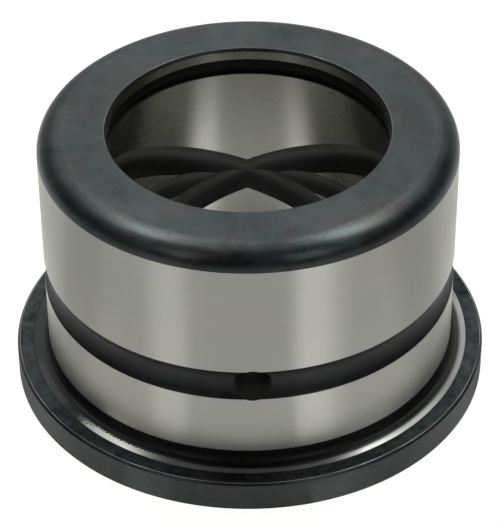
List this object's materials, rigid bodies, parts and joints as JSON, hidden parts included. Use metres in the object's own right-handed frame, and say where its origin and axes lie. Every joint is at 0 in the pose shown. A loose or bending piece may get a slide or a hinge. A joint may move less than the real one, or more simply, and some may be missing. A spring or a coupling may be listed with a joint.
{
  "type": "flanged pin bushing",
  "caption": "Flanged steel pin bushing: ground sleeve with an outer grease groove, oil hole, crossing grease grooves in the bore and a dust seal at the mouth.",
  "frame": {"origin": "centre of the bore at the flange's bearing face, which is the lowest face", "axes": "+Z along the bore from the flange to the mouth; the oil hole opens at -Y; X and Y are otherwise free, as the part is turned"},
  "size_m": [0.1392, 0.1392, 0.0824],
  "materials": {
    "hardened_steel": "ground bright on the sleeve, bore and shoulder ring, black oxide everywhere else",
    "seal_rubber": "matt black moulded rubber"
  },
  "bodies": {
    "root": {"bushing_body": "hardened_steel", "dust_seal": "seal_rubber"}
  },
  "joints": []
}
